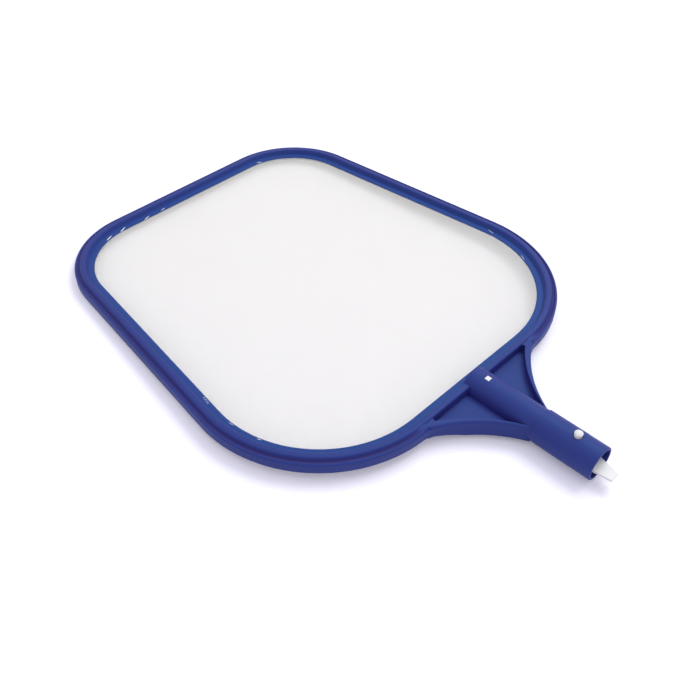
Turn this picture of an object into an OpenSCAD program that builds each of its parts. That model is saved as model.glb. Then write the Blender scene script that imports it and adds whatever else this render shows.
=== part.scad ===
// Leaf skimmer net: a moulded rim with a net, a yoke, a pole spigot and its latch clip.
// Millimetres. X runs out of the spigot's mouth, Z is up, and the origin is the centre of the mouth.

/* [Pole spigot] */
// Outside diameter of the part that enters the pole
spigot_d = 28.5; // [27:0.5:31]
// Length of the spigot from its mouth to the shoulder
spigot_l = 51.5; // [48:0.5:56]
// Height of the shoulder, where the tube behind the spigot is thinner
shoulder = 0.8; // [0.3:0.1:1]
// Wall of the spigot
spigot_wall = 2.2; // [1.8:0.1:2.6]
// Bevel round the mouth
mouth_bevel = 0.4; // [0.2:0.1:0.5]
// Amount by which the stretch in front of the button is slimmer, so that it enters the pole easily
lead_slim = 0.1; // [0.05:0.05:0.2]
// Distance from the mouth to the closed back end of the tube
tube_l = 118; // [108:1:126]

/* [Net opening] */
// Distance from the tube's back end to the near edge of the net opening
net_back = 6.7; // [5.5:0.1:12]
// Length of the net opening along the handle
open_l = 359.5; // [320:0.5:390]
// Greatest width of the net opening
open_w = 330; // [300:1:350]
// Angle by which each side closes towards the far end
taper = 6; // [3:0.5:8]
// Radius of the two corners near the yoke
near_r = 99; // [94:1:104]
// Radius of the two far corners
far_r = 63.5; // [50:0.5:70]
// Height of the net above the middle of the spigot
net_rise = 1; // [0:0.5:2]

/* [Rim section] */
// Width of the low flange that holds the net
flange_w = 5.6; // [5:0.1:6.2]
// Thickness of the flange
flange_t = 2.2; // [1.8:0.1:2.6]
// Height of the inner bead above the net
bead_h = 5.8; // [5:0.1:6.6]
// Slope of the inner bead's side towards the net
bead_slope = 68; // [55:1:75]
// Radius of the bead's inner top corner
bead_r = 1.3; // [0.9:0.1:1.6]
// Width of the flat on top of the inner bead
bead_flat = 2.6; // [2:0.1:3.6]
// Radius of the bead's outer shoulder
shoulder_r = 1.9; // [1.4:0.1:2.4]
// Width of the groove between the two beads
groove_w = 1; // [0.6:0.1:1.8]
// Height of the groove's floor above the net
groove_h = 2.3; // [1.8:0.1:2.6]
// Radius of the outer bead
outer_r = 1.9; // [1.6:0.1:2.3]
// Height of the outer bead's middle above the net
outer_h = 3.2; // [2.7:0.1:3.7]
// Depth of the rim below the net
rim_drop = 5.9; // [5:0.1:7]
// Wall of the rim's two feet
foot_wall = 2; // [1.7:0.1:2.2]
// Length over which the groove runs out beside an arm
groove_end = 16; // [8:1:24]
// Thickness of the rim above its channel
roof_t = 1.9; // [1.5:0.1:2.3]
// Thickness of the cross ribs inside the channel
rib_t = 1.6; // [1.2:0.1:2.2]

/* [Yoke] */
// Radius of the arms' hollow outer edge
arm_r = 118; // [100:1:140]
// Radius of the fillet between the rim and an arm
arm_fillet = 30; // [20:1:40]
// Distance from the shoulder to the arms' front ends
arm_gap = 4; // [2:0.1:6]
// Width of an arm along the handle, beside the tube
arm_tip = 4.2; // [3:0.1:7]
// Width of an arm along the crossbar
arm_foot = 3.9; // [3:0.1:8]
// Radius of the pockets' curved side
pocket_r = 125; // [105:1:145]
// Step from the inner bead's top down to the yoke's top
yoke_step = 0.8; // [0.2:0.1:1.2]
// Depth of the arms below the middle of the spigot
arm_drop = 9.2; // [7:0.1:11]
// Length over which an arm's underside runs down from the rim's
arm_run = 16; // [10:1:24]
// Thickness of the web in each pocket
web_t = 2.5; // [1.8:0.1:3]
// Depth of the web's underside below the net
web_drop = 4.6; // [4:0.1:5]
// Rounding of the arms' top edge
arm_edge = 2.4; // [1.4:0.1:3]

/* [Net] */
// Distance between the net's main strands
mesh_pitch = 21.2; // [20.6:0.2:24]
// Width of a strand
strand_w = 1.2; // [0.8:0.1:2]
// Thickness of the net
net_t = 0.4; // [0.3:0.05:0.6]
// Depth to which the net reaches into the rim's slot
net_seat = 3.5; // [2.5:0.1:3.8]

/* [Latch clip] */
// Width of the clip's leaf
leaf_w = 14; // [12:0.5:15]
// Thickness of the clip
leaf_t = 1.8; // [1.4:0.1:2.2]
// Gap between the leaf's upper edges and the bore
leaf_gap = 0.95; // [0.6:0.05:1.5]
// Distance from the tube's back end to the middle of the lug
lug_in = 14; // [10:0.5:16]
// Side of the square lug
lug_w = 4.2; // [3.4:0.1:5]
// Distance from the mouth to the middle of the button
button_back = 22; // [21:0.5:26]
// Diameter of the button
button_d = 6.6; // [6:0.1:8.5]
// Height by which the button stands out of the spigot
button_out = 3.8; // [3:0.1:4]
// Length of the tongue outside the mouth
tongue_out = 13; // [8:0.5:16]
// Width of the tongue at the mouth
tongue_w = 15; // [13:0.5:15.5]
// Width of the tongue's tip
tip_w = 8.4; // [6:0.2:10]
// Depth of the tongue's top below the middle of the spigot
tongue_drop = 2; // [1:0.1:2.2]

/* [Hidden] */
$fn = 96;
over = 1;
lap = 0.5;
slim = 0.01;
bore_r = spigot_d / 2 - spigot_wall;
tube_r = spigot_d / 2 - shoulder;
back_wall = 2;
lug_back = tube_l - lug_in;
leaf_rise = sqrt(pow(bore_r - leaf_gap, 2) - pow(leaf_w / 2, 2));
net_gap = 0.05;
slot_deep = net_seat + 0.2;
slot_t = net_t + 2 * net_gap;
lug_gap = 0.3;
button_gap = 0.65;
lead_gap = 0.3;
lead_l = button_back - button_d / 2 - button_gap - lead_gap;
lead_taper = 0.6;
lead_r = spigot_d / 2 - lead_slim;

// Rim section, measured outwards from the edge of the net opening
lip_r = flange_t / 2;
bead_rise = bead_h - lip_r - (1 - cos(bead_slope)) * bead_r;
crest_in = flange_w + bead_rise / tan(bead_slope) + bead_r * sin(bead_slope);
crest_out = crest_in + bead_flat;
bead_out = crest_out + shoulder_r;
outer_mid = bead_out + groove_w + outer_r;
rim_w = outer_mid + outer_r;
foot_step = 1.2;
foot_in = flange_w + foot_step;
channel_in = foot_in + foot_wall;
channel_out = rim_w - foot_wall;
bar_channel_out = bead_out - foot_wall;
channel_top = groove_h - roof_t;
edge_r = 1;
slot_angle = asin(slot_t / 2 / lip_r);
fine = 4;

// Path of the net opening's edge, upper half
near_x = -tube_l - net_back;
far_x = near_x - open_l;
near_c = [near_x - near_r, open_w / 2 - near_r];
far_cx = far_x + far_r;
far_cy = near_c[1] + (near_r - far_r + (far_cx - near_c[0]) * sin(taper)) / cos(taper);
far_c = [far_cx, far_cy];
side_l = (near_c[0] - far_cx) * cos(taper) + (near_c[1] - far_cy) * sin(taper);
out_dir = [-sin(taper), cos(taper)];

// Yoke, whose arms run from the crossbar's ends to the tube
bar_x = near_x + bead_out;
yoke_top = net_rise + bead_h - yoke_step;
web_low = net_rise - web_drop;
outside_r = near_r + rim_w;
arm_start = [near_x + rim_w, near_c[1]];
arm_x = -spigot_l - arm_gap;
arm_c = centre_of(arm_start, arm_r, [arm_x, tube_r], arm_r);
fillet_c = centre_of(arm_c, arm_r - arm_fillet, near_c, outside_r + arm_fillet);
fillet_start = near_c + outside_r / norm(fillet_c - near_c) * (fillet_c - near_c);
fillet_end = arm_c + arm_r / norm(fillet_c - arm_c) * (fillet_c - arm_c);
feather = 5.3;
yoke_w = fillet_start[1] - feather;
pocket_c = centre_of([bar_x, near_c[1] - arm_foot], pocket_r, [arm_x - arm_tip, tube_r], pocket_r);
pocket_end_r = 2.1;
pocket_end = pocket_c[1] - sqrt(pow(pocket_r, 2) - pow(pocket_c[0] - bar_x - 2 * pocket_end_r, 2));

// Latch clip
bend_start = button_d / 2 - button_back + 1.5;
bend_end = -2;
bend_drop = leaf_rise + tongue_drop;
tongue_fall = 1.2;
bend_steps = 14;
tail = 6.5;
dome_h = 1.6;
button_top = spigot_d / 2 + button_out;
lug_top = tube_r - 0.2;

// Point to the left of the way from a to b that is a_far from a and b_far from b
function centre_of(a, a_far, b, b_far) =
    let (
        gap = norm(b - a),
        along = (gap * gap + a_far * a_far - b_far * b_far) / (2 * gap),
        aside = sqrt(a_far * a_far - along * along)
    )
    a + (along * (b - a) + aside * [a[1] - b[1], b[0] - a[0]]) / gap;

// Outline of the net opening, moved outwards by grow
module opening(grow) {
    for (side = [0, 1]) mirror([0, side]) {
        translate(near_c) circle(r = near_r + grow);
        translate(far_c) circle(r = far_r + grow);
        polygon([
            [near_x + grow, 0],
            [near_x + grow, near_c[1]],
            near_c + (near_r + grow) * out_dir,
            far_c + (far_r + grow) * out_dir,
            [far_x - grow, far_c[1]],
            [far_x - grow, 0]
        ]);
    }
}

// Points of an arc about centre, from the angle start to the angle end
function arc(centre, radius, start, end, steps) =
    [for (i = [0 : steps]) centre + radius * [cos(start + (end - start) * i / steps), sin(start + (end - start) * i / steps)]];

// Points from the net's slot, over the flange, to the outer top corner of the inner bead
function bead_top() = concat(
    [[slot_deep, -slot_t / 2], [slot_deep, slot_t / 2]],
    arc([lip_r, 0], lip_r, 180 - slot_angle, 90, fine),
    [[flange_w, lip_r]],
    arc([crest_in, bead_h - bead_r], bead_r, 90 + bead_slope, 90, fine),
    arc([crest_out, bead_h - shoulder_r], shoulder_r, 90, 0, 2 * fine)
);

// Points from the channel's outer side, round the inner foot, to the net's slot
function foot(channel_end) = concat(
    [[channel_end, -rim_drop], [channel_end, channel_top], [channel_in, channel_top]],
    [[channel_in, -rim_drop], [foot_in, -rim_drop], [foot_in, -lip_r]],
    arc([lip_r, 0], lip_r, -90, slot_angle - 180, fine)
);

// Section of the rim where it is the yoke's crossbar
function bar_section() = concat(bead_top(), [[bead_out, -rim_drop]], foot(bar_channel_out));

// Section of the rest of the rim
function rim_section() = concat(
    bead_top(),
    [[bead_out, groove_h], [bead_out + groove_w, groove_h]],
    arc([outer_mid, outer_h], outer_r, 180, 0, 3 * fine),
    arc([rim_w - edge_r, edge_r - rim_drop], edge_r, 0, -90, fine),
    foot(channel_out)
);

// Inward normal of a section's edge that runs from a to b
function inward(a, b) = [b[1] - a[1], a[0] - b[0]] / norm(b - a);

// Section that is slimmer by slim all round
function slimmed(section) = let (last = len(section) - 1) [
    for (i = [0 : last])
        let (
            before = inward(section[i > 0 ? i - 1 : last], section[i]),
            after = inward(section[i], section[i < last ? i + 1 : 0])
        )
        section[i] + slim * (before + after) / (1 + before * after)
];

// A straight stretch, with its section facing the angle turn, whose ends lie inside the corners
module stretch(place, turn, length, section) {
    translate(place) rotate([0, 0, turn]) rotate([90, 0, 0]) translate([0, 0, -lap])
        linear_extrude(height = length + 2 * lap) polygon(slimmed(section));
}

// A corner stretch about centre, from the angle start
module corner(centre, radius, start, angle) {
    translate(centre) rotate([0, 0, start]) rotate_extrude(angle = angle)
        translate([radius, 0]) polygon(rim_section());
}

// One cross rib in the channel, at the origin of its stretch
module rib() {
    translate([channel_in - over / 2, -rib_t / 2, -rim_drop + 1])
        cube([channel_out - channel_in + over, rib_t, rim_drop - 1 + channel_top + over / 2]);
}

// Ribs along one half of the rim
module ribs() {
    for (a = [12 : 20 : 92]) translate(near_c) rotate([0, 0, a]) translate([near_r, 0, 0]) rib();
    for (i = [1 : 3])
        translate(near_c + near_r * out_dir + i * side_l / 4 * [-cos(taper), -sin(taper)])
            rotate([0, 0, 90 + taper]) rib();
    for (a = [110 : 25 : 160]) translate(far_c) rotate([0, 0, a]) translate([far_r, 0, 0]) rib();
    for (i = [0.5, 1.5]) translate([far_x, far_c[1] * i / 2]) rotate([0, 0, 180]) rib();
}

// Ramp beside an arm, on which the groove runs out
module run_out() {
    intersection() {
        rotate_extrude(angle = 90) translate([near_r + bead_out - over, groove_h - over])
            square([groove_w + outer_r + over, bead_h]);
        rotate([90, 0, 90]) linear_extrude(height = outside_r)
            polygon([[0, 0], [groove_end, 0], [groove_end, groove_h - slim], [0, bead_h - yoke_step]]);
    }
}

// Round bar along the handle, from the place back to the place front
module along_x(back, back_r, front, front_r) {
    translate([back, 0, 0]) rotate([0, 90, 0]) cylinder(r1 = back_r, r2 = front_r, h = front - back);
}

module rim() {
    color([0.22, 0.29, 0.55]) difference() {
        translate([0, 0, net_rise]) {
            stretch([near_x, near_c[1]], 0, 2 * near_c[1], bar_section());
            stretch([far_x, -far_c[1]], 180, 2 * far_c[1], rim_section());
            for (side = [0, 1]) mirror([0, side, 0]) {
                corner(near_c, near_r, 0, 90 + taper);
                translate(near_c) run_out();
                stretch(far_c + far_r * out_dir, 90 + taper, side_l, rim_section());
                corner(far_c, far_r, 90 + taper, 90 - taper);
                ribs();
            }
        }
        along_x(-tube_l, tube_r, near_x + rim_w + over, tube_r);
    }
}

// Plan of one pocket between the crossbar and an arm
module pocket_plan() {
    difference() {
        translate([bar_x, 0]) square([-bar_x - spigot_l, pocket_end]);
        translate(pocket_c) circle(r = pocket_r, $fn = 360);
    }
    translate([bar_x + pocket_end_r, pocket_end]) circle(r = pocket_end_r);
}

// Plan of the open space beside an arm, with the fillet at the arm's foot
module space_plan() {
    difference() {
        translate(arm_c) circle(r = arm_r, $fn = 360);
        polygon([fillet_start, fillet_end, 3 * arm_start - fillet_start - fillet_end]);
    }
    translate(fillet_c) circle(r = arm_fillet);
}

// Plan of the yoke, which meets the outside of the rim's corners
module yoke_plan() {
    difference() {
        translate([bar_x, -yoke_w]) square([-bar_x - spigot_l - 1, 2 * yoke_w]);
        for (side = [0, 1]) mirror([0, side]) {
            space_plan();
            intersection() {
                translate(near_c) circle(r = outside_r, $fn = 360);
                translate([bar_x - over, near_c[1]]) square(outside_r);
            }
        }
    }
}

// Side view of the yoke, whose underside runs down from the rim's
module yoke_side() {
    polygon([
        [bar_x - over, net_rise - rim_drop],
        [near_x + rim_w, net_rise - rim_drop],
        [near_x + rim_w + arm_run, -arm_drop],
        [over, -arm_drop],
        [over, yoke_top],
        [bar_x - over, yoke_top]
    ]);
}

// What the rounding takes off an arm's top edge
module rounding() {
    translate(arm_c) rotate_extrude($fn = 360) translate([arm_r, yoke_top - arm_edge]) difference() {
        translate([-over, 0]) square([arm_edge + over, arm_edge + over]);
        translate([arm_edge, 0]) circle(r = arm_edge);
    }
}

module yoke() {
    color([0.22, 0.29, 0.55]) difference() {
        intersection() {
            translate([0, 0, -spigot_d]) linear_extrude(height = 2 * spigot_d) yoke_plan();
            translate([0, 2 * near_r, 0]) rotate([90, 0, 0]) linear_extrude(height = 4 * near_r) yoke_side();
        }
        for (side = [0, 1]) mirror([0, side, 0]) {
            translate([0, 0, web_low + web_t]) linear_extrude(height = yoke_top + arm_drop) pocket_plan();
            translate([0, 0, -arm_drop - over]) linear_extrude(height = web_low + arm_drop + over) pocket_plan();
            rounding();
            translate([bar_x, near_c[1], net_rise + outer_h]) cube([near_r, near_r, bead_h]);
        }
        along_x(bar_x - over, tube_r, 0, tube_r);
    }
}

module pole_spigot() {
    color([0.22, 0.29, 0.55]) difference() {
        union() {
            along_x(-tube_l, tube_r, -spigot_l, tube_r);
            along_x(-spigot_l, spigot_d / 2, -lead_l, spigot_d / 2);
            along_x(-lead_l, spigot_d / 2, lead_taper - lead_l, lead_r);
            along_x(lead_taper - lead_l, lead_r, -mouth_bevel, lead_r);
            along_x(-mouth_bevel, lead_r, 0, lead_r - mouth_bevel);
        }
        along_x(back_wall - tube_l, bore_r, over, bore_r);
        translate([-button_back, 0, 0]) cylinder(r = button_d / 2 + button_gap, h = spigot_d);
        translate([-lug_back - lug_w / 2 - lug_gap, -lug_w / 2 - lug_gap, 0])
            cube([lug_w + 2 * lug_gap, lug_w + 2 * lug_gap, spigot_d]);
    }
}

module net() {
    color([0.92, 0.92, 0.94]) translate([0, 0, net_rise - net_t / 2]) linear_extrude(height = net_t) difference() {
        opening(net_seat);
        intersection() {
            opening(-strand_w);
            for (i = [0 : floor(open_l / mesh_pitch)])
                for (j = [-floor(open_w / mesh_pitch / 2) - 1 : floor(open_w / mesh_pitch / 2)])
                    translate([near_x - (i + 1) * mesh_pitch + strand_w / 2, j * mesh_pitch + strand_w / 2])
                        square(mesh_pitch - strand_w);
        }
    }
}

// Height of the clip's top along the bend, for a share of the way from 0 to 1
function bend_z(share) = leaf_rise - bend_drop * (1 - cos(180 * share)) / 2;

// Side view of the clip's leaf, bend and tongue
module clip_side() {
    top = concat(
        [[-lug_back - tail, leaf_rise]],
        [for (i = [0 : bend_steps]) [bend_start + (bend_end - bend_start) * i / bend_steps, bend_z(i / bend_steps)]],
        [[tongue_out, -tongue_drop - tongue_fall]]
    );
    low = [for (i = [len(top) - 1 : -1 : 0]) [top[i][0] - (i > 1 && i < bend_steps + 1 ? leaf_t / 2 : 0), top[i][1] - leaf_t]];
    polygon(concat(top, low));
}

// Plan of the clip
module clip_plan() {
    translate([-lug_back - tail, -leaf_w / 2]) square([lug_back + tail + bend_start, leaf_w]);
    polygon([
        [bend_start, -leaf_w / 2],
        [bend_end - 1, -tongue_w / 2],
        [tongue_out, -tip_w / 2],
        [tongue_out, tip_w / 2],
        [bend_end - 1, tongue_w / 2],
        [bend_start, leaf_w / 2]
    ]);
}

module latch_clip() {
    color([0.93, 0.93, 0.93]) {
        intersection() {
            translate([0, tongue_w, 0]) rotate([90, 0, 0]) linear_extrude(height = 2 * tongue_w) clip_side();
            translate([0, 0, -spigot_d]) linear_extrude(height = 2 * spigot_d) clip_plan();
        }
        translate([-button_back, 0, leaf_rise - leaf_t / 2]) rotate_extrude() {
            square([button_d / 2, button_top - dome_h - leaf_rise + leaf_t / 2]);
            intersection() {
                dome_r = (button_d * button_d / 4 + dome_h * dome_h) / (2 * dome_h);
                translate([0, button_top - dome_r - leaf_rise + leaf_t / 2]) circle(r = dome_r);
                square([button_d / 2, button_top]);
            }
        }
        translate([-lug_back - lug_w / 2, -lug_w / 2, leaf_rise - leaf_t / 2])
            cube([lug_w, lug_w, lug_top - leaf_rise + leaf_t / 2]);
    }
}

rim();
yoke();
pole_spigot();
net();
latch_clip();
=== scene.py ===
"""Dresses the leaf skimmer net.

Blue moulded frame, fine white mesh, white latch clip and a plain studio.
"""
import math

import bmesh
import bpy
from bpy.props import FloatProperty, FloatVectorProperty, IntProperty, PointerProperty
from mathutils import Matrix, Vector
from mathutils.geometry import interpolate_bezier


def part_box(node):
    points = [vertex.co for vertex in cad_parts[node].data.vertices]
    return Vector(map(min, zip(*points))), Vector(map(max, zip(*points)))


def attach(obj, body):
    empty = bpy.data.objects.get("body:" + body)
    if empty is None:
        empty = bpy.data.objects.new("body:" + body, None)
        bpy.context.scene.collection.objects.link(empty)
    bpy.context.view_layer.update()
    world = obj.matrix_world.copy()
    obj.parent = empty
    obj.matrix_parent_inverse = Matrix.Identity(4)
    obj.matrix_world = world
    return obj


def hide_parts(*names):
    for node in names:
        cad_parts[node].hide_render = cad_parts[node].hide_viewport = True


bl_info = {
    "name": "Leaf Skimmer Net",
    "version": (1, 0, 0),
    "blender": (4, 5, 0),
    "location": "View3D > Sidebar > Skimmer",
    "description": "Finishes a pool leaf skimmer head and its studio",
    "category": "Object",
}

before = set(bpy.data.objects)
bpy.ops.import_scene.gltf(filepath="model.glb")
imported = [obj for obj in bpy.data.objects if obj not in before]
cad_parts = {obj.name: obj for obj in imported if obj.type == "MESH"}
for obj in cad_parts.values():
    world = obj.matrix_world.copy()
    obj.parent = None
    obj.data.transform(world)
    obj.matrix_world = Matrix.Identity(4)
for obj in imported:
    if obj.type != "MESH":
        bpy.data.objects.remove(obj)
MM = 0.001
MOULDED_NODES = ("yoke", "pole_spigot")

# Places across the rim's section, in millimetres outwards from the net opening.
# FLANGE_END bounds the painted lit tone on the flange.
FLANGE_END = 5.9
BEAD_END = 11.0
# GROOVE_FLOOR bounds the painted shade in the groove.
GROOVE_FLOOR = (13.0, 15.4)
OUTER_BEAD = 16.1
WALL = 17.2
SECTION_MIDDLE = 9.0

# Heights above the net, in millimetres, from which a point is on the section's top side.
TOP_SIDE = 0.5
GROOVE_SIDE = 1.8

# How the rim meets an arm, in millimetres: how far the wall swells, how high the arm's ledge lies
# and how deep the rim's end runs into the bar and the yoke.
WALL_SWELL = 0.8
ARM_LEDGE = 3.6
TUCK_DEPTH = 0.5

# The swell fades over a third of the run-out, the shoulder falls by this share of the way
# outwards, and the rim's end is made slimmer by this factor.
SWELL_FADE = 3
SHOULDER_FALL = 0.85
TUCK_SCALE = 0.985

# Steps of the sweep: near corner, side, far corner and far edge.
SWEEP_STEPS = (60, 3, 28, 2)

# Cross ribs: size, place outwards and depth below the net in millimetres, then where they stand.
RIB_SIZE = (7.2, 1.6, 5.6)
RIB_OUT = 12.24
RIB_DEPTH = 2.1
NEAR_RIB_DEGREES = range(12, 93, 20)
SIDE_RIB_SHARES = (1 / 4, 2 / 4, 3 / 4)
FAR_RIB_DEGREES = (110, 135, 160)
FAR_EDGE_RIB_SHARES = (0.25, 0.75)

# Distances in metres under which two points count as one, and under which one is on the seam
# between the two halves of the rim.
SAME_POINT = 1e-6
SAME_SEAM_POINT = 5e-6
SAME_THREAD_POINT = 1e-7
ON_SEAM = 1e-5

# Number of lengths that the threads are cut into, along X and along Y.
THREAD_CUTS = (14, 12)

# Short puckers of the mesh's edge on the flange: their place above the net and half their
# thickness in millimetres, then x, y, turn in degrees, length and half width of each, in metres.
PUCKER_RISE = 1.0
PUCKER_HALF = 0.4
PUCKERS = (
    (-0.4828, -0.0998, 113, 0.0088, 0.0005), (-0.4853, -0.0825, 114, 0.0088, 0.0005),
    (-0.4850, -0.0544, 107, 0.0078, 0.0004), (-0.4858, -0.0343, 98, 0.0060, 0.0003),
    (-0.4843, 0.0921, 57, 0.0056, 0.0004), (-0.2292, 0.1688, -10, 0.0080, 0.0002),
    (-0.1831, 0.1575, -30, 0.0080, 0.0002),
    (-0.2470, -0.1657, 62, 0.0022, 0.0002), (-0.2492, -0.1652, 62, 0.0028, 0.0002),
    (-0.2514, -0.1647, 62, 0.0028, 0.0002), (-0.2536, -0.1642, 62, 0.0024, 0.0002),
    (-0.2178, -0.1664, 8, 0.0060, 0.0002), (-0.1914, -0.1613, 26, 0.0040, 0.0003),
)

# The studio: lengths in metres, and the strength of the floor's lift.
FLOOR_REACH = 1.4
FLOOR_LIFT = 0.16
LAMP_SIZE = (1.2, 0.8)
LAMP_PLACE = (-0.1, 1.0, 1.6)
LAMP_AIM = (-0.25, 0, 0)


# ---------------------------------------------------------------- settings


class SkimmerPlastic(bpy.types.PropertyGroup):
    """Colours and finish of the two plastics."""

    blue: FloatVectorProperty(
        name="Frame blue", description="Colour of the moulded frame",
        subtype="COLOR", size=3, min=0, max=1, default=(0.032, 0.0325, 0.208),
    )
    # Painted light: a lighter, greener blue that stands in for the lit tone of the flange.
    lit_flange_blue: FloatVectorProperty(
        name="Painted flange light", description="Lighter, greener blue painted on the flange as its lit tone",
        subtype="COLOR", size=3, min=0, max=1, default=(0.026, 0.046, 0.232),
    )
    # Painted shade: a darker, purpler blue that stands in for the shade down in the groove.
    groove_shade_blue: FloatVectorProperty(
        name="Painted groove shade", description="Darker, purpler blue painted in the rim's groove as its shade",
        subtype="COLOR", size=3, min=0, max=1, default=(0.046, 0.025, 0.168),
    )
    blue_roughness: FloatProperty(
        name="Frame roughness", description="Roughness of the moulded skin",
        subtype="FACTOR", min=0, max=1, default=0.54,
    )
    white: FloatVectorProperty(
        name="Clip white", description="Colour of the latch clip",
        subtype="COLOR", size=3, min=0, max=1, default=(0.83, 0.82, 0.79),
    )
    white_roughness: FloatProperty(
        name="Clip roughness", description="Roughness of the latch clip",
        subtype="FACTOR", min=0, max=1, default=0.38,
    )


class SkimmerRim(bpy.types.PropertyGroup):
    """Sizes of the rim round the net opening."""

    front: FloatProperty(
        name="Front", description="Place along X of the opening's near edge",
        unit="LENGTH", subtype="DISTANCE", default=-0.1247,
    )
    length: FloatProperty(
        name="Opening length", description="Length of the net opening",
        unit="LENGTH", subtype="DISTANCE", min=0.32, default=0.3595,
    )
    width: FloatProperty(
        name="Opening width", description="Greatest width of the net opening",
        unit="LENGTH", subtype="DISTANCE", min=0.3, default=0.33,
    )
    taper: FloatProperty(
        name="Taper", description="Angle by which each side closes towards the far end",
        unit="ROTATION", subtype="ANGLE", default=math.radians(6),
    )
    near_radius: FloatProperty(
        name="Near radius", description="Radius of the opening's corners near the yoke",
        unit="LENGTH", subtype="DISTANCE", min=0.09, default=0.099,
    )
    far_radius: FloatProperty(
        name="Far radius", description="Radius of the opening's far corners",
        unit="LENGTH", subtype="DISTANCE", min=0.05, default=0.0635,
    )
    run_out: FloatProperty(
        name="Run-out", description="Length over which the groove runs out beside an arm",
        unit="LENGTH", subtype="DISTANCE", min=0.004, default=0.016,
    )


class SkimmerMesh(bpy.types.PropertyGroup):
    """Sizes and colour of the fine mesh."""

    pitch: FloatProperty(
        name="Pitch", description="Distance between neighbouring threads",
        unit="LENGTH", subtype="DISTANCE", min=0.0008, default=0.001,
    )
    thread: FloatProperty(
        name="Thread", description="Diameter of one thread",
        unit="LENGTH", subtype="DISTANCE", min=0.0001, default=0.00025,
    )
    sides: IntProperty(
        name="Sides", description="Sides of one thread", min=3, max=8, default=6,
    )
    sag: FloatProperty(
        name="Sag", description="Depth by which the middle of the mesh hangs",
        unit="LENGTH", subtype="DISTANCE", min=0, default=0.0012,
    )
    colour: FloatVectorProperty(
        name="Thread white", description="Colour of the threads",
        subtype="COLOR", size=3, min=0, max=1, default=(0.97, 0.96, 0.845),
    )


class SkimmerStudio(bpy.types.PropertyGroup):
    """Camera, floor and lights."""

    azimuth: FloatProperty(
        name="Azimuth", description="Direction in which the camera looks, turned from +Y",
        subtype="ANGLE", unit="ROTATION", default=math.radians(45.04),
    )
    elevation: FloatProperty(
        name="Elevation", description="Height of the camera above the horizon",
        subtype="ANGLE", unit="ROTATION", default=math.radians(43.65),
    )
    distance: FloatProperty(
        name="Distance", description="Distance from the camera to its target",
        unit="LENGTH", subtype="DISTANCE", default=0.6893,
    )
    target: FloatVectorProperty(
        name="Target", description="Point at the middle of the picture",
        subtype="TRANSLATION", unit="LENGTH", size=3, default=(-0.2256, -0.0422, 0.001),
    )
    lens: FloatProperty(
        name="Lens", description="Focal length of the camera in millimetres", default=43.41,
    )
    key: FloatProperty(
        name="Key light", description="Power of the large soft lamp", subtype="POWER", default=15.0,
    )
    ambient: FloatProperty(
        name="Ambient", description="Strength of the light from overhead", default=1.15,
    )
    sky: FloatVectorProperty(
        name="Sky", description="Tint of the light from all round", subtype="COLOR",
        size=3, min=0, max=1, default=(0.90, 0.94, 1.0),
    )
    horizon: FloatVectorProperty(
        name="Horizon", description="Tint of the weaker light from the horizon", subtype="COLOR",
        size=3, min=0, max=1, default=(0.21, 0.14, 0.27),
    )
    lamp: FloatVectorProperty(
        name="Lamp", description="Tint of the large soft lamp", subtype="COLOR",
        size=3, min=0, max=1, default=(0.96, 1.0, 0.96),
    )
    floor: FloatVectorProperty(
        name="Floor", description="Colour of the floor", subtype="COLOR",
        size=3, min=0, max=1, default=(0.92, 0.89, 0.96),
    )


# ---------------------------------------------------------------- shader maths


class Wire:
    """One socket of a material, whose operators add Math nodes."""

    def __init__(self, finish, socket):
        self.finish = finish
        self.socket = socket

    def math(self, operation, first, second):
        """Adds a Math node on two numbers or wires."""
        return self.finish.node("ShaderNodeMath", {"operation": operation}, {0: first, 1: second})

    def __add__(self, other):
        return self.math("ADD", self, other)

    def __radd__(self, other):
        return self.math("ADD", other, self)

    def __mul__(self, other):
        return self.math("MULTIPLY", self, other)

    def __rmul__(self, other):
        return self.math("MULTIPLY", other, self)


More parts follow.
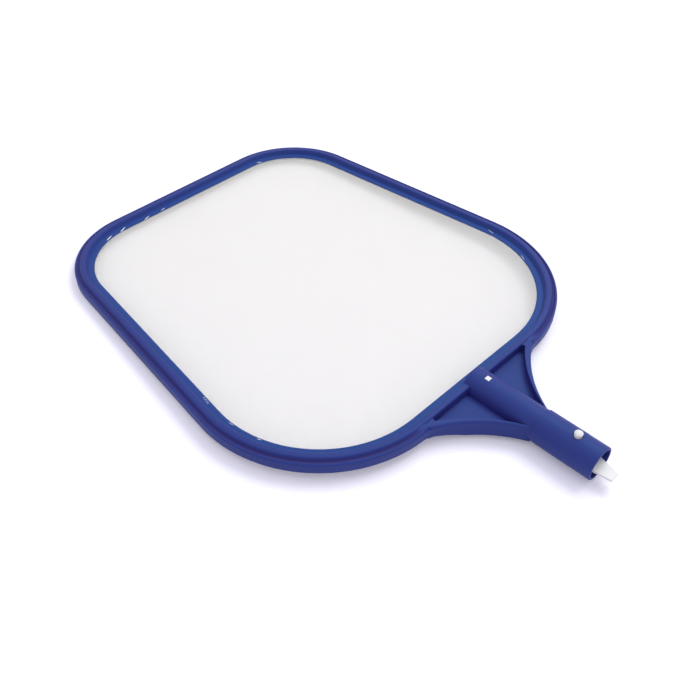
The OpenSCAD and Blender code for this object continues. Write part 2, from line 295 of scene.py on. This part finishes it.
class Finish:
    """One material and the nodes that make it."""

    def __init__(self, name=None, world=None):
        self.material = world or bpy.data.materials.new(name)
        self.material.use_nodes = True
        self.tree = self.material.node_tree
        self.tree.nodes.clear()

    def node(self, kind, settings=None, inputs=None, output=0):
        """Adds a node, sets it up, feeds its sockets and returns one of its outputs."""
        made = self.tree.nodes.new(kind)
        for key, value in (settings or {}).items():
            setattr(made, key, value)
        for key, value in (inputs or {}).items():
            if isinstance(value, Wire):
                self.tree.links.new(value.socket, made.inputs[key])
            else:
                made.inputs[key].default_value = value
        return Wire(self, made.outputs[output]) if made.outputs else None

    def noise(self, size, detail=2.0, roughness=0.5):
        """Noise from 0 to 1 whose blotches are about size metres wide."""
        place = self.node("ShaderNodeTexCoord", output="Object")
        return self.node(
            "ShaderNodeTexNoise", None,
            {"Vector": place, "Scale": 1 / size, "Detail": detail, "Roughness": roughness},
        )

    def grain(self, size, detail, strength, depth):
        """Bumps about size metres wide and depth metres high."""
        height = self.noise(size, detail)
        return self.node(
            "ShaderNodeBump", None, {"Strength": strength, "Distance": depth, "Height": height}
        )

    def attribute(self, name):
        """A number that the mesh's points carry, or 0 where they carry none."""
        return self.node("ShaderNodeAttribute", {"attribute_name": name}, output="Fac")

    def mix(self, share, first, second):
        """Colour between first and second."""
        return self.node(
            "ShaderNodeMix", {"data_type": "RGBA"},
            {0: share, 6: colour4(first), 7: colour4(second)}, 2,
        )

    def looked_at(self):
        """1 where the camera looks, straight or by way of gloss or glass."""
        rays = [self.node("ShaderNodeLightPath", output=f"Is {kind} Ray")
                for kind in ("Camera", "Glossy", "Transmission")]
        return self.node("ShaderNodeClamp", None, {"Value": rays[0] + rays[1] + rays[2]})

    def surface(self, **inputs):
        """Ends the material in one principled shader."""
        named = {key.replace("_", " "): value for key, value in inputs.items()}
        shader = self.node("ShaderNodeBsdfPrincipled", None, named)
        self.node("ShaderNodeOutputMaterial", None, {"Surface": shader})
        return self.material


def colour4(colour):
    """A colour with full alpha, or the wire itself."""
    return colour if isinstance(colour, Wire) else (*colour[:3], 1.0)


def shade(colour, gain):
    """The colour made lighter or darker."""
    return tuple(min(1.0, part * gain) for part in colour)


# ---------------------------------------------------------------- materials


def moulded_blue(plastic):
    """Blue polypropylene with a fine moulded skin, faint flow clouds and rubbed patches, a painted
    lit tone on the flange and painted shade in the groove.
    """
    finish = Finish("moulded_blue")
    clouds = finish.noise(0.05)
    solid = finish.mix(clouds, shade(plastic.blue, 0.9), shade(plastic.blue, 1.1))
    # Painted light: the flange's points take the lighter, greener lit tone.
    flange = finish.mix(finish.attribute("lit_flange"), solid, plastic.lit_flange_blue)
    rubbed = finish.noise(0.012, 4.0, 0.6)
    return finish.surface(
        # Painted shade: points down in the groove take the darker groove colour.
        Base_Color=finish.mix(finish.attribute("groove_shade"), flange, plastic.groove_shade_blue),
        Roughness=plastic.blue_roughness - 0.06 + rubbed * 0.12,
        Normal=finish.grain(size=0.0009, detail=2.0, strength=0.12, depth=0.00008),
        Specular_IOR_Level=0.36,
        Specular_Tint=(0.2, 0.88, 1.0, 1.0),
    )


def moulded_white(plastic):
    """White acetal with a waxy skin."""
    finish = Finish("moulded_white")
    clouds = finish.noise(0.02)
    return finish.surface(
        Base_Color=finish.mix(clouds, shade(plastic.white, 0.96), plastic.white),
        Roughness=plastic.white_roughness - 0.04 + clouds * 0.08,
        Normal=finish.grain(size=0.0006, detail=2.0, strength=0.1, depth=0.00006),
    )


def thread_white(mesh):
    """White polyester thread, a little greyer in soft blotches."""
    finish = Finish("thread_white")
    clouds = finish.noise(0.03, 3.0)
    return finish.surface(
        Base_Color=finish.mix(clouds, shade(mesh.colour, 0.95), mesh.colour),
        Roughness=0.5 + clouds * 0.15,
        Normal=finish.grain(size=0.00012, detail=1.0, strength=0.3, depth=0.00002),
    )


def floor_white(studio):
    """Matt floor, lifted a little only where it is looked at."""
    finish = Finish("floor_white")
    lift = finish.node("ShaderNodeEmission", None, {"Color": (1, 1, 1, 1), "Strength": FLOOR_LIFT})
    plain = finish.node("ShaderNodeBsdfDiffuse", None, {"Color": colour4(studio.floor)})
    both = finish.node("ShaderNodeAddShader", None, {0: plain, 1: lift})
    shader = finish.node("ShaderNodeMixShader", None, {0: finish.looked_at(), 1: plain, 2: both})
    finish.node("ShaderNodeOutputMaterial", None, {"Surface": shader})
    return finish.material


# ---------------------------------------------------------------- shapes


class Outline:
    """The edge of the mesh: a rounded outline that closes towards its far end."""

    def __init__(self, node):
        low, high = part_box(node)
        self.low = low
        self.high = high
        points = [(v.co.x, abs(v.co.y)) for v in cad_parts[node].data.vertices]
        self.edge = [(low.x, 0.0), *upper_hull(points), (high.x, 0.0)]

    def half_width(self, x):
        """Half the mesh's width at x, or 0 outside it."""
        for (x0, y0), (x1, y1) in zip(self.edge, self.edge[1:]):
            if x0 <= x <= x1 and x1 > x0:
                return y0 + (y1 - y0) * (x - x0) / (x1 - x0)
        return 0.0

    def span(self, y):
        """Where a line along X at y enters and leaves the mesh."""
        crossings = []
        for (x0, y0), (x1, y1) in zip(self.edge, self.edge[1:]):
            if (y0 - abs(y)) * (y1 - abs(y)) <= 0 and y0 != y1:
                crossings.append(x0 + (x1 - x0) * (abs(y) - y0) / (y1 - y0))
        return (min(crossings), max(crossings)) if crossings else None


def upper_hull(points):
    """The outline's upper half from low x to high x."""
    hull = []
    for point in sorted(set(points)):
        while len(hull) > 1 and turns_left(hull[-2], hull[-1], point):
            hull.pop()
        hull.append(point)
    return hull


def turns_left(a, b, c):
    """True if the way from a over b to c doesn't turn right."""
    return (b[0] - a[0]) * (c[1] - a[1]) - (b[1] - a[1]) * (c[0] - a[0]) >= 0


def add_object(name, made, material):
    """Puts a bmesh in the scene as an object with its finish."""
    data = bpy.data.meshes.new(name)
    made.to_mesh(data)
    made.free()
    data.materials.append(material)
    thing = bpy.data.objects.new(name, data)
    bpy.context.scene.collection.objects.link(thing)
    return thing


def add_piece(name, made, material, body):
    """Makes a bmesh a piece of the object, with its finish, on its body."""
    piece = add_object(name, made, material)
    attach(piece, body)
    return piece


class RimPath:
    """Centres and straights of the net opening's edge, on the side of +Y."""

    def __init__(self, rim):
        near, far = rim.near_radius, rim.far_radius
        sine, cosine = math.sin(rim.taper), math.cos(rim.taper)
        self.turn = math.pi / 2 + rim.taper
        self.near_middle = Vector((rim.front - near, rim.width / 2 - near, 0))
        far_x = rim.front - rim.length + far
        shift = (near - far + (far_x - self.near_middle.x) * sine) / cosine
        self.far_middle = Vector((far_x, self.near_middle.y + shift, 0))
        gap = self.near_middle - self.far_middle
        self.side = Vector((-cosine, -sine, 0))
        self.out = Vector((-sine, cosine, 0))
        self.side_length = gap.x * cosine + gap.y * sine


def bend(start, leave, arrive, end, count=6):
    """Points of a smooth bend, without its first one."""
    knots = [Vector((*point, 0)) for point in (start, leave, arrive, end)]
    return [(point.x, point.y) for point in interpolate_bezier(*knots, count + 1)[1:]]


def rim_section():
    """The rim's section in millimetres: outwards from the opening, and up from the net."""
    return [
        (3.7, -0.25), (3.7, 0.25), (0.03, 0.25),
        *bend((0.03, 0.25), (0.05, 0.8), (0.45, 1.1), (1.1, 1.1), 4),
        (5.1, 1.1), *bend((5.1, 1.1), (5.5, 1.1), (5.65, 1.25), (5.85, 1.7), 4),
        (7.0, 4.6), *bend((7.0, 4.6), (7.3, 5.4), (7.8, 5.8), (8.5, 5.8)),
        (10.9, 5.8), *bend((10.9, 5.8), (12.8, 5.8), (12.8, 2.5), (14.4, 2.4), 9),
        *bend((14.4, 2.4), (15.2, 2.4), (15.3, 3.7), (16.1, 3.7), 6),
        *bend((16.1, 3.7), (17.0, 3.7), (17.67, 3.0), (17.67, 1.6)),
        (17.67, -4.9), *bend((17.67, -4.9), (17.67, -5.5), (17.3, -5.89), (16.7, -5.89), 4),
        (15.68, -5.89), (15.68, 0.4), (8.8, 0.4), (8.8, -5.89), (6.8, -5.89), (6.8, -1.1),
        (1.1, -1.1), *bend((1.1, -1.1), (0.45, -1.1), (0.05, -0.8), (0.03, -0.25), 4),
    ]


def sweep_rim(made, rim, path, level):
    """Sweeps the section round the near corner, down the side and round the far corner."""
    start = path.near_middle + Vector((rim.near_radius, 0, level))
    lit_flange = made.verts.layers.float.new("lit_flange")
    groove_shade = made.verts.layers.float.new("groove_shade")
    loop = []
    for across, up in rim_section():
        vert = made.verts.new(start + Vector((across * MM, 0, up * MM)))
        # Painted light: points of the flange get the lighter, greener lit tone.
        vert[lit_flange] = float(across < FLANGE_END)
        # Painted shade: points of the top side in the groove get the darker groove colour.
        vert[groove_shade] = float(up > TOP_SIDE and GROOVE_FLOOR[0] < across < GROOVE_FLOOR[1])
        loop.append(vert)
    near, side, far, edge = SWEEP_STEPS
    edges = [made.edges.new((loop[i - 1], loop[i])) for i in range(len(loop))]
    edges = spin_on(made, edges, path.near_middle, path.turn, near)
    edges = push_on(made, edges, path.side * path.side_length, side)
    edges = spin_on(made, edges, path.far_middle, math.pi - path.turn, far)
    push_on(made, edges, Vector((0, -path.far_middle.y, 0)), edge)


def spin_on(made, edges, middle, angle, steps):
    """Turns the open end about a corner's middle and returns the new end."""
    spun = bmesh.ops.spin(
        made, geom=edges, cent=middle, axis=(0, 0, 1), angle=angle, steps=steps, use_merge=False,
    )
    return edges_of(spun["geom_last"])


def push_on(made, edges, way, steps):
    """Pushes the open end along in steps and returns the new end."""
    for _ in range(steps):
        pushed = bmesh.ops.extrude_edge_only(made, edges=edges)["geom"]
        edges = [edge for edge in edges_of(pushed) if edge.is_boundary]
        bmesh.ops.translate(made, verts=verts_of(pushed), vec=way / steps)
    return edges


def edges_of(geometry):
    """The edges among parts of a mesh."""
    return [part for part in geometry if isinstance(part, bmesh.types.BMEdge)]


def verts_of(geometry):
    """The points among parts of a mesh."""
    return [part for part in geometry if isinstance(part, bmesh.types.BMVert)]


def everything(made):
    """All the points, edges and faces of a mesh."""
    return made.verts[:] + made.edges[:] + made.faces[:]


def run_groove_out(made, rim, path, level):
    """Leads the groove, the outer edge and the wall into the foot of an arm."""
    groove_shade = made.verts.layers.float["groove_shade"]
    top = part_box("yoke")[1].z
    for vert in made.verts:
        out = (vert.co.xy - path.near_middle.xy).length - rim.near_radius
        along = (vert.co.y - path.near_middle.y) / rim.run_out
        if vert.co.x < path.near_middle.x or along > 1:
            continue
        # The painted groove shade fades out towards the arm.
        vert[groove_shade] *= max(0.0, along)
        if out > WALL * MM:
            vert.co.x += WALL_SWELL * MM * max(0.0, 1 - SWELL_FADE * along) ** 2
        if out > BEAD_END * MM and level + GROOVE_SIDE * MM < vert.co.z < top:
            ease = (1 - along) ** 2 * (1 + 2 * along)
            vert.co.z += ease * (shoulder(out, top) - vert.co.z)


def shoulder(out, top):
    """Height of an arm's rounded shoulder and ledge, at a distance out from the opening."""
    if out > WALL * MM:
        return ARM_LEDGE * MM
    return top - SHOULDER_FALL * max(0.0, out - OUTER_BEAD * MM)


def tuck_in(made, end, rim):
    """Draws the rim's end, a little slimmer, into the bar and the yoke, so that no gap shows."""
    verts = verts_of(bmesh.ops.extrude_face_region(made, geom=end)["geom"])
    middle = Matrix.Translation((-rim.front - SECTION_MIDDLE * MM, 0, 0))
    bmesh.ops.scale(made, verts=verts, vec=(TUCK_SCALE, 1, TUCK_SCALE), space=middle)
    bmesh.ops.translate(made, verts=verts, vec=(0, -TUCK_DEPTH * MM, 0))
    bmesh.ops.delete(made, geom=end, context="FACES_ONLY")


def add_ribs(made, rim, path, level):
    """Cross ribs in the channel, at the CAD frame's places."""
    def rib(place, turn):
        shape = Matrix.Diagonal((*(size * MM for size in RIB_SIZE), 1))
        inside = Matrix.Translation((RIB_OUT * MM, 0, level - RIB_DEPTH * MM))
        around = Matrix.Translation(place) @ Matrix.Rotation(turn, 4, "Z")
        bmesh.ops.create_cube(made, size=1, matrix=around @ inside @ shape)

    def corner_ribs(middle, radius, angles):
        for angle in angles:
            turn = math.radians(angle)
            rib(middle + radius * Vector((math.cos(turn), math.sin(turn), 0)), turn)

    corner_ribs(path.near_middle, rim.near_radius, NEAR_RIB_DEGREES)
    side_start = path.near_middle + rim.near_radius * path.out
    for share in SIDE_RIB_SHARES:
        rib(side_start + path.side * path.side_length * share, path.turn)
    corner_ribs(path.far_middle, rim.far_radius, FAR_RIB_DEGREES)
    for share in FAR_EDGE_RIB_SHARES:
        rib(Vector((path.far_middle.x - rim.far_radius, path.far_middle.y * share, 0)), math.pi)


def mirror_across(made):
    """Adds the half on the side of -Y."""
    bmesh.ops.mirror(made, geom=everything(made), axis="Y", merge_dist=SAME_SEAM_POINT)
    bmesh.ops.remove_doubles(made, verts=made.verts, dist=SAME_SEAM_POINT)
    bmesh.ops.recalc_face_normals(made, faces=made.faces)


def cut_bar(rim, path):
    """The frame's crossbar, cut from a copy of the rim between the two near corners."""
    made = bmesh.new()
    made.from_mesh(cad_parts["rim"].data)
    bmesh.ops.remove_doubles(made, verts=made.verts, dist=SAME_POINT)
    cuts = ((Vector((path.near_middle.x, 0, 0)), Vector((-1, 0, 0))),
            (Vector((0, path.near_middle.y, 0)), Vector((0, 1, 0))),
            (Vector((0, -path.near_middle.y, 0)), Vector((0, -1, 0))))
    for point, normal in cuts:
        cut = bmesh.ops.bisect_plane(
            made, geom=everything(made), dist=SAME_POINT,
            plane_co=point, plane_no=normal, clear_outer=True,
        )
        rims = [edge for edge in edges_of(cut["geom_cut"]) if edge.is_boundary]
        bmesh.ops.contextual_create(made, geom=rims)
    # Painted light: the bar's flange gets the same lighter, greener lit tone.
    lit_flange = made.verts.layers.float.new("lit_flange")
    for vert in made.verts:
        vert[lit_flange] = float(vert.co.x < rim.front + FLANGE_END * MM)
    return made


def net_level():
    """Height of the middle of the CAD net."""
    low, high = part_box("net")
    return (low.z + high.z) / 2


def add_thread(made, start, end, mesh):
    """One straight thread between two points."""
    start, end = Vector(start), Vector(end)
    radius = mesh.thread / 2
    along = end - start
    turn = along.to_track_quat("Z", "Y").to_matrix().to_4x4()
    bmesh.ops.create_cone(
        made, cap_ends=True, segments=mesh.sides,
        radius1=radius, radius2=radius, depth=along.length,
        matrix=Matrix.Translation((start + end) / 2) @ turn,
    )


def weave(made, outline, mesh):
    """Lays threads along X over threads along Y, each ending at the outline."""
    over, under = net_level() + mesh.thread / 2, net_level() - mesh.thread / 2
    rows = int((outline.high.y - outline.low.y) / mesh.pitch) // 2
    for row in range(-rows, rows + 1):
        y = row * mesh.pitch
        span = outline.span(y)
        if span:
            add_thread(made, (span[0], y, over), (span[1], y, over), mesh)
    columns = int((outline.high.x - outline.low.x) / mesh.pitch)
    for column in range(1, columns):
        x = outline.low.x + column * mesh.pitch
        half = outline.half_width(x)
        if half > mesh.pitch:
            add_thread(made, (x, -half, under), (x, half, under), mesh)


def cut_across(made, outline, axis, count):
    """Cuts every thread into count lengths along an axis, so that it can sag."""
    normal = Vector((0, 0, 0))
    normal[axis] = 1
    for step in range(1, count):
        point = outline.low + (outline.high - outline.low) * step / count
        bmesh.ops.bisect_plane(
            made, geom=everything(made), dist=SAME_THREAD_POINT, plane_co=point, plane_no=normal,
        )


def hang(made, outline, sag):
    """Lets the mesh sag, most in its middle and not at its edges."""
    middle = (outline.low + outline.high) / 2
    half = (outline.high - outline.low) / 2
    for vert in made.verts:
        x = (vert.co.x - middle.x) / half.x
        y = (vert.co.y - middle.y) / half.y
        vert.co.z -= sag * max(0.0, 1 - x * x) * max(0.0, 1 - y * y)


def smooth_by_angle(piece, degrees):
    """Shades a piece smooth, with sharp edges where its faces meet at more than an angle."""
    data = piece.data
    data.shade_smooth()
    data.set_sharp_from_angle(angle=math.radians(degrees))


def paint(node, material):
    """Gives a CAD node one material."""
    node.data.materials.clear()
    node.data.materials.append(material)


# ---------------------------------------------------------------- operators


class SKIMMER_OT_frame(bpy.types.Operator):
    """Gives the moulded frame its blue finish"""

    bl_idname = "skimmer.frame"
    bl_label = "Finish Frame"

    def execute(self, context):
        blue = moulded_blue(context.scene.skimmer_plastic)
        for name in MOULDED_NODES:
            paint(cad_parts[name], blue)
        return {"FINISHED"}


class SKIMMER_OT_rim(bpy.types.Operator):
    """Moulds the rim with its soft groove, its ribs and the crossbar"""

    bl_idname = "skimmer.rim"
    bl_label = "Mould Rim"

    def execute(self, context):
        rim = context.scene.skimmer_rim
        path = RimPath(rim)
        blue = bpy.data.materials["moulded_blue"]
        level = net_level()
        made = bmesh.new()
        sweep_rim(made, rim, path, level)
        run_groove_out(made, rim, path, level)
        ends = [edge for edge in made.edges
                if edge.is_boundary and edge.verts[0].co.y > ON_SEAM]
        tuck_in(made, bmesh.ops.contextual_create(made, geom=ends)["faces"], rim)
        add_ribs(made, rim, path, level)
        mirror_across(made)
        ring = add_piece("rim_ring", made, blue, "frame")
        bar = add_piece("rim_bar", cut_bar(rim, path), blue, "frame")
        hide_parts("rim")
        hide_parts("rim")
        smooth_by_angle(ring, 35)
        return {"FINISHED"}


class SKIMMER_OT_clip(bpy.types.Operator):
    """Gives the latch clip its white finish"""

    bl_idname = "skimmer.clip"
    bl_label = "Finish Clip"

    def execute(self, context):
        paint(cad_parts["latch_clip"], moulded_white(context.scene.skimmer_plastic))
        return {"FINISHED"}


class SKIMMER_OT_mesh(bpy.types.Operator):
    """Weaves the fine mesh in the rim"""

    bl_idname = "skimmer.mesh"
    bl_label = "Weave Mesh"

    def execute(self, context):
        mesh = context.scene.skimmer_mesh
        outline = Outline("net")
        made = bmesh.new()
        weave(made, outline, mesh)
        for axis, count in enumerate(THREAD_CUTS):
            cut_across(made, outline, axis, count)
        hang(made, outline, mesh.sag)
        piece = add_piece("fine_mesh", made, thread_white(mesh), "frame")
        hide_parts("net")
        return {"FINISHED"}


class SKIMMER_OT_selvedge(bpy.types.Operator):
    """Lets the edge of the mesh show in short puckers where the flange closed on it"""

    bl_idname = "skimmer.selvedge"
    bl_label = "Show Selvedge"

    def execute(self, context):
        top = net_level() + PUCKER_RISE * MM
        white = bpy.data.materials["thread_white"]
        made = bmesh.new()
        for x, y, angle, length, half in PUCKERS:
            place = Matrix.Translation((x, y, top)) @ Matrix.Rotation(math.radians(angle), 4, "Z")
            shape = Matrix.Diagonal((length / 2, half, PUCKER_HALF * MM, 1))
            bmesh.ops.create_uvsphere(
                made, u_segments=16, v_segments=8, radius=1, matrix=place @ shape,
            )
        piece = add_piece("mesh_selvedge", made, white, "frame")
        smooth_by_angle(piece, 60)
        return {"FINISHED"}


class SKIMMER_OT_studio(bpy.types.Operator):
    """Builds the floor, the lights and the camera"""

    bl_idname = "skimmer.studio"
    bl_label = "Build Studio"

    def execute(self, context):
        studio = context.scene.skimmer_studio
        add_floor(studio)
        add_world(context.scene, studio)
        add_key(context.scene, studio)
        add_camera(context.scene, studio)
        context.scene.view_settings.view_transform = "Standard"
        return {"FINISHED"}


# ---------------------------------------------------------------- studio


def add_floor(studio):
    """A pale floor that touches the tube's back end and the rim's far edge."""
    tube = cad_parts["pole_spigot"].data.vertices
    rim_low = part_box("rim")[0]
    back_x = min(vert.co.x for vert in tube)
    back = Vector((back_x, 0, min(vert.co.z for vert in tube if vert.co.x < back_x + MM)))
    slope = (rim_low.z - back.z) / (rim_low.x - back.x)
    made = bmesh.new()
    bmesh.ops.create_grid(made, x_segments=1, y_segments=1, size=FLOOR_REACH)
    bmesh.ops.rotate(made, verts=made.verts, matrix=Matrix.Rotation(-math.atan(slope), 3, "Y"))
    bmesh.ops.translate(made, verts=made.verts, vec=back)
    add_object("floor", made, floor_white(studio))


def add_world(scene, studio):
    """Soft light from all round, brightest overhead, and a white backdrop where it is looked at."""
    world = bpy.data.worlds.new("studio")
    scene.world = world
    finish = Finish(world=world)
    way = finish.node("ShaderNodeTexCoord", output="Generated")
    height = finish.node("ShaderNodeSeparateXYZ", None, {"Vector": way}, "Z")
    share = finish.node("ShaderNodeClamp", None, {"Value": height})
    sky = finish.mix(share, studio.horizon, studio.sky)
    light = finish.node("ShaderNodeBackground", None, {"Color": sky, "Strength": studio.ambient})
    white = finish.node("ShaderNodeBackground", None, {"Color": (1, 1, 1, 1), "Strength": 1.0})
    shown = finish.node("ShaderNodeMixShader", None, {0: finish.looked_at(), 1: light, 2: white})
    finish.node("ShaderNodeOutputWorld", None, {"Surface": shown})


def add_key(scene, studio):
    """The large soft lamp behind and to the right."""
    data = bpy.data.lights.new("key", "AREA")
    data.shape = "RECTANGLE"
    data.size, data.size_y = LAMP_SIZE
    data.energy = studio.key
    data.color = studio.lamp
    lamp = bpy.data.objects.new("key", data)
    lamp.location = LAMP_PLACE
    aim = Vector(LAMP_AIM) - lamp.location
    lamp.rotation_mode = "QUATERNION"
    lamp.rotation_quaternion = aim.to_track_quat("-Z", "Y")
    scene.collection.objects.link(lamp)


def add_camera(scene, studio):
    """The camera, turned and raised from straight along +Y."""
    data = bpy.data.cameras.new("camera")
    data.sensor_width = 36
    data.lens = studio.lens
    data.clip_start = 0.01
    camera = bpy.data.objects.new("camera", data)
    level = math.cos(studio.elevation)
    back = Vector((math.sin(studio.azimuth) * level, -math.cos(studio.azimuth) * level,
                   math.sin(studio.elevation)))
    camera.location = Vector(studio.target) + back * studio.distance
    camera.rotation_mode = "QUATERNION"
    camera.rotation_quaternion = (-back).to_track_quat("-Z", "Y")
    scene.collection.objects.link(camera)
    scene.camera = camera


# ---------------------------------------------------------------- add-on


class SKIMMER_PT_panel(bpy.types.Panel):
    """Sidebar panel with every step of the skimmer"""

    bl_label = "Leaf Skimmer"
    bl_idname = "SKIMMER_PT_panel"
    bl_space_type = "VIEW_3D"
    bl_region_type = "UI"
    bl_category = "Skimmer"

    def draw(self, context):
        for operator in STEPS:
            self.layout.operator(operator.bl_idname)
        for group, settings in GROUPS.items():
            box = self.layout.box()
            for name in settings.__annotations__:
                box.prop(getattr(context.scene, group), name)


STEPS = (
    SKIMMER_OT_frame, SKIMMER_OT_rim, SKIMMER_OT_clip, SKIMMER_OT_mesh, SKIMMER_OT_selvedge,
    SKIMMER_OT_studio,
)
GROUPS = {
    "skimmer_plastic": SkimmerPlastic,
    "skimmer_rim": SkimmerRim,
    "skimmer_mesh": SkimmerMesh,
    "skimmer_studio": SkimmerStudio,
}
CLASSES = (*GROUPS.values(), *STEPS, SKIMMER_PT_panel)


def register():
    for cls in CLASSES:
        bpy.utils.register_class(cls)
    for name, group in GROUPS.items():
        setattr(bpy.types.Scene, name, PointerProperty(type=group))


def unregister():
    for name in GROUPS:
        delattr(bpy.types.Scene, name)
    for cls in reversed(CLASSES):
        bpy.utils.unregister_class(cls)


def plain(corners):
    """Two corners as plain lists of numbers."""
    return [list(map(float, corner)) for corner in corners]


def main():
    """Registers the add-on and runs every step."""
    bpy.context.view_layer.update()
    register()
    bpy.ops.skimmer.frame()
    bpy.ops.skimmer.rim()
    bpy.ops.skimmer.clip()
    bpy.ops.skimmer.mesh()
    bpy.ops.skimmer.selvedge()
    bpy.ops.skimmer.studio()
    bpy.context.view_layer.update()


if __name__ == "__main__":
    main()
